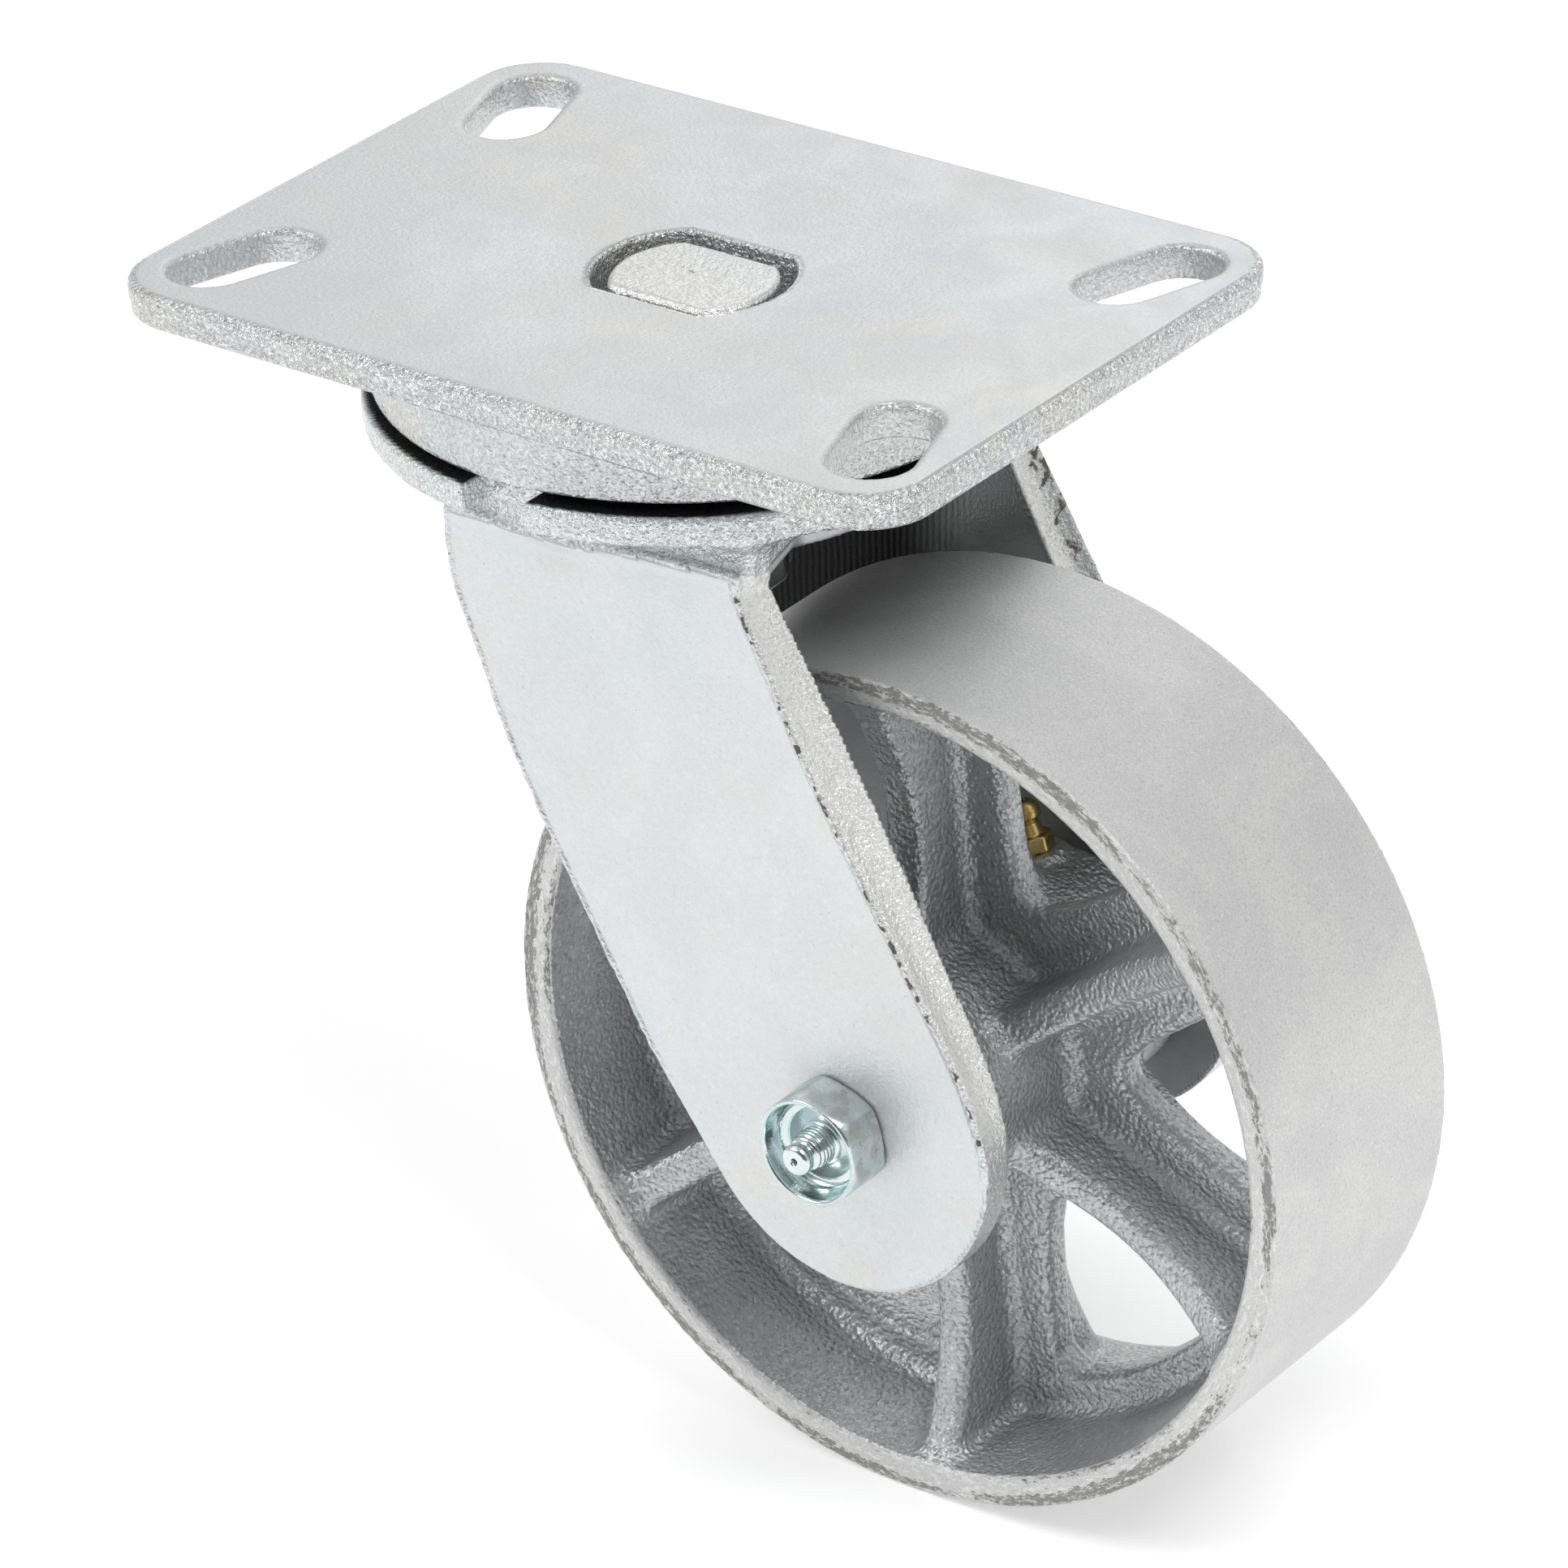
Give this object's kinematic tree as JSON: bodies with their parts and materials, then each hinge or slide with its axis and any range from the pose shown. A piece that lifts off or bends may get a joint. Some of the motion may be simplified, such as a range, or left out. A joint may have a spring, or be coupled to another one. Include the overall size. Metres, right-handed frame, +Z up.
{
  "type": "swivel caster",
  "caption": "Heavy-duty swivel top-plate caster with a forged fork and a spoked cast-iron wheel on a roller bearing.",
  "frame": {"origin": "on the swivel axis, in the mounting face of the top plate", "axes": "+Z up out of the mounting face, +X from the swivel axis towards the wheel along the plate's long side, +Y along the axle towards the nut"},
  "size_m": [0.2088, 0.1142, 0.2032],
  "materials": {
    "plate_zinc": "satin zinc plate on forged steel",
    "fork_zinc": "satin zinc plate on forged steel",
    "wheel_cast_iron": "coarse sand casting under a silver-grey coat, turned tread",
    "brass_fitting": "turned",
    "cage_brass": "pressed",
    "seal_rubber": "matt",
    "bearing_steel": "ground and polished",
    "bolt_zinc": "bright blue zinc plate",
    "turned_steel": "turned"
  },
  "bodies": {
    "plate": {"top_plate": "plate_zinc", "kingpin": "turned_steel", "kingpin_nut": "turned_steel", "cotter_pin": "turned_steel", "lower_race": "turned_steel", "raceway_seal": "seal_rubber"},
    "main_balls": {"main_ball_01": "bearing_steel", "main_ball_02": "bearing_steel", "main_ball_03": "bearing_steel", "main_ball_04": "bearing_steel", "main_ball_05": "bearing_steel", "main_ball_06": "bearing_steel", "main_ball_07": "bearing_steel", "main_ball_08": "bearing_steel", "main_ball_09": "bearing_steel", "main_ball_10": "bearing_steel", "main_ball_11": "bearing_steel", "main_ball_12": "bearing_steel", "main_ball_13": "bearing_steel", "main_ball_14": "bearing_steel", "main_ball_cage": "cage_brass"},
    "lower_balls": {"lower_ball_01": "bearing_steel", "lower_ball_02": "bearing_steel", "lower_ball_03": "bearing_steel", "lower_ball_04": "bearing_steel", "lower_ball_05": "bearing_steel", "lower_ball_06": "bearing_steel", "lower_ball_07": "bearing_steel", "lower_ball_08": "bearing_steel", "lower_ball_09": "bearing_steel", "lower_ball_10": "bearing_steel", "lower_ball_cage": "cage_brass"},
    "fork": {"axle_bolt": "bolt_zinc", "axle_grease_fitting": "bolt_zinc", "axle_nut": "bolt_zinc", "crown_weld_far": "fork_zinc", "crown_weld_near": "fork_zinc", "fork_crown": "fork_zinc", "fork_leg_far": "fork_zinc", "fork_leg_near": "fork_zinc", "spanner_bushing": "turned_steel", "thrust_washer_far": "turned_steel", "thrust_washer_near": "turned_steel"},
    "rollers": {"roller_01": "bearing_steel", "roller_02": "bearing_steel", "roller_03": "bearing_steel", "roller_04": "bearing_steel", "roller_05": "bearing_steel", "roller_06": "bearing_steel", "roller_07": "bearing_steel", "roller_08": "bearing_steel", "roller_09": "bearing_steel", "roller_10": "bearing_steel", "roller_cage": "turned_steel"},
    "wheel": {"wheel": "wheel_cast_iron", "hub_grease_fitting": "brass_fitting"}
  },
  "joints": [
    {"name": "swivel", "type": "hinge", "parent": "plate", "child": "fork", "pos_m": [0, 0, 0], "axis": [0, 0, 1], "continuous": true},
    {"name": "main_ball_orbit", "type": "hinge", "parent": "plate", "child": "main_balls", "pos_m": [0, 0, 0], "axis": [0, 0, 1], "continuous": true},
    {"name": "lower_ball_orbit", "type": "hinge", "parent": "plate", "child": "lower_balls", "pos_m": [0, 0, 0], "axis": [0, 0, 1], "continuous": true},
    {"name": "wheel_spin", "type": "hinge", "parent": "fork", "child": "wheel", "pos_m": [0.0532, 0, -0.127], "axis": [0, 1, 0], "continuous": true},
    {"name": "roller_orbit", "type": "hinge", "parent": "fork", "child": "rollers", "pos_m": [0.0532, 0, -0.127], "axis": [0, 1, 0], "continuous": true}
  ],
  "couplings": [
    {"joint": "main_ball_orbit", "follows": "swivel", "ratio": 0.5},
    {"joint": "lower_ball_orbit", "follows": "swivel", "ratio": 0.5},
    {"joint": "roller_orbit", "follows": "wheel_spin", "ratio": 0.61}
  ]
}
